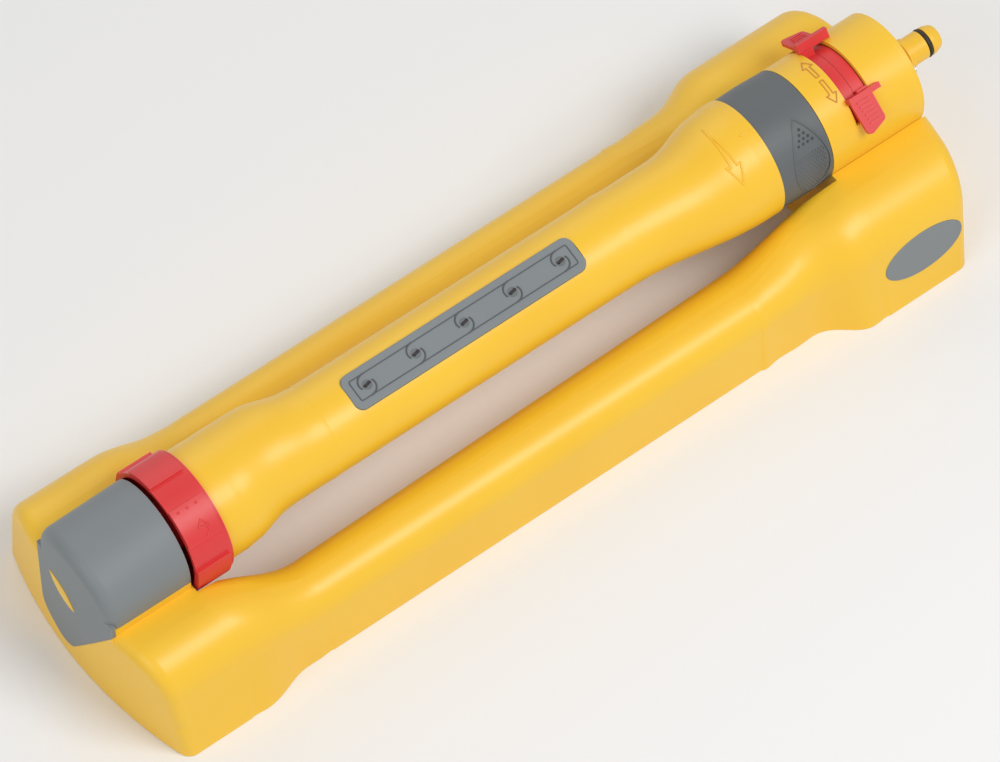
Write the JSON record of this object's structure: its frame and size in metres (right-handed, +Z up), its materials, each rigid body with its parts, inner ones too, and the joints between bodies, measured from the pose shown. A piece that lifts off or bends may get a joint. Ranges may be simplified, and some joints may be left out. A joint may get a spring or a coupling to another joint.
{
  "type": "garden sprinkler",
  "caption": "Oscillating lawn sprinkler: a water motor swings a spray tube with nozzles over a moulded frame, with range sliders, a jet selector and a hose plug.",
  "frame": {"origin": "on the ground under the middle of the sprinkler's length", "axes": "+X along the swing axis towards the hose connector, +Z up, and +Y to the side away from the rest swing of the nozzles"},
  "size_m": [0.5448, 0.168, 0.1098],
  "materials": {
    "yellow_plastic": "satin moulded",
    "grey_plastic": "fine matte",
    "dark_grey_plastic": "fine matte",
    "red_plastic": "satin moulded",
    "white_plastic": "natural acetal",
    "soft_grey": "soft matte",
    "seal_rubber": "matte",
    "steel": "bright"
  },
  "bodies": {
    "frame": {"base_frame": "yellow_plastic", "near_bearing_bush": "white_plastic", "near_bearing_cap": "grey_plastic", "end_cap_badge": "yellow_plastic", "shaft_bush": "white_plastic", "shaft_seal": "seal_rubber", "motor_housing": "yellow_plastic", "motor_casing": "dark_grey_plastic", "gearbox_plate": "dark_grey_plastic", "gearbox_posts": "dark_grey_plastic", "gear_arbors": "steel", "jet_director": "dark_grey_plastic", "trip_spring": "steel", "motor_end_cover": "yellow_plastic", "cover_screws": "steel", "hose_connector": "yellow_plastic", "connector_seal": "seal_rubber", "inlet_filter": "steel", "oval_badge_left": "grey_plastic", "oval_badge_right": "grey_plastic", "housing_screws": "steel", "cap_screws": "steel"},
    "tube": {"spray_tube": "yellow_plastic", "near_journal": "white_plastic", "near_plug_seal": "seal_rubber", "nozzle_strip": "grey_plastic", "nozzle_inserts": "soft_grey", "water_gallery": "dark_grey_plastic", "tube_hub": "white_plastic", "drive_shaft": "white_plastic", "output_gear": "white_plastic"},
    "selector": {"jet_selector_ring": "red_plastic"},
    "shutter": {"jet_shutter": "dark_grey_plastic"},
    "flow": {"flow_control_ring": "dark_grey_plastic"},
    "slider_left": {"range_slider_left": "red_plastic"},
    "slider_right": {"range_slider_right": "red_plastic"},
    "second_gear": {"second_gear": "white_plastic"},
    "first_gear": {"first_gear": "white_plastic"},
    "turbine": {"turbine_wheel": "white_plastic", "turbine_spindle": "steel"},
    "lever": {"trip_lever": "white_plastic"}
  },
  "joints": [
    {"name": "tube_swing", "type": "hinge", "parent": "frame", "child": "tube", "pos_m": [0, 0, 0.075], "axis": [1, 0, 0], "range_deg": [-62.5, 33.5]},
    {"name": "selector_turn", "type": "hinge", "parent": "tube", "child": "selector", "pos_m": [0, 0, 0.075], "axis": [1, 0, 0], "range_deg": [0, 50]},
    {"name": "shutter_slide", "type": "slide", "parent": "tube", "child": "shutter", "axis": [1, 0, 0], "range_m": [0, 0.005]},
    {"name": "flow_turn", "type": "hinge", "parent": "tube", "child": "flow", "pos_m": [0, 0, 0.075], "axis": [1, 0, 0], "range_deg": [0, 60]},
    {"name": "slider_left_turn", "type": "hinge", "parent": "frame", "child": "slider_left", "pos_m": [0, 0, 0.075], "axis": [1, 0, 0], "range_deg": [-18, 26]},
    {"name": "slider_right_turn", "type": "hinge", "parent": "frame", "child": "slider_right", "pos_m": [0, 0, 0.075], "axis": [1, 0, 0], "range_deg": [-26, 18]},
    {"name": "second_gear_turn", "type": "hinge", "parent": "frame", "child": "second_gear", "pos_m": [0.19, 0.0066, 0.06357], "axis": [1, 0, 0], "range_deg": [-101, 188]},
    {"name": "first_gear_turn", "type": "hinge", "parent": "frame", "child": "first_gear", "pos_m": [0.19, -0.0066, 0.06357], "axis": [1, 0, 0], "range_deg": [-563, 302]},
    {"name": "turbine_turn", "type": "hinge", "parent": "frame", "child": "turbine", "pos_m": [0, 0, 0.075], "axis": [1, 0, 0], "range_deg": [-905, 1688]},
    {"name": "lever_trip", "type": "hinge", "parent": "frame", "child": "lever", "pos_m": [0.2187, 0, 0.061], "axis": [1, 0, 0], "range_deg": [-12, 12]}
  ],
  "couplings": [
    {"joint": "second_gear_turn", "follows": "tube_swing", "ratio": -3},
    {"joint": "first_gear_turn", "follows": "tube_swing", "ratio": 9},
    {"joint": "turbine_turn", "follows": "tube_swing", "ratio": -27},
    {"joint": "shutter_slide", "follows": "selector_turn", "m_per_rad": 0.0057296}
  ]
}
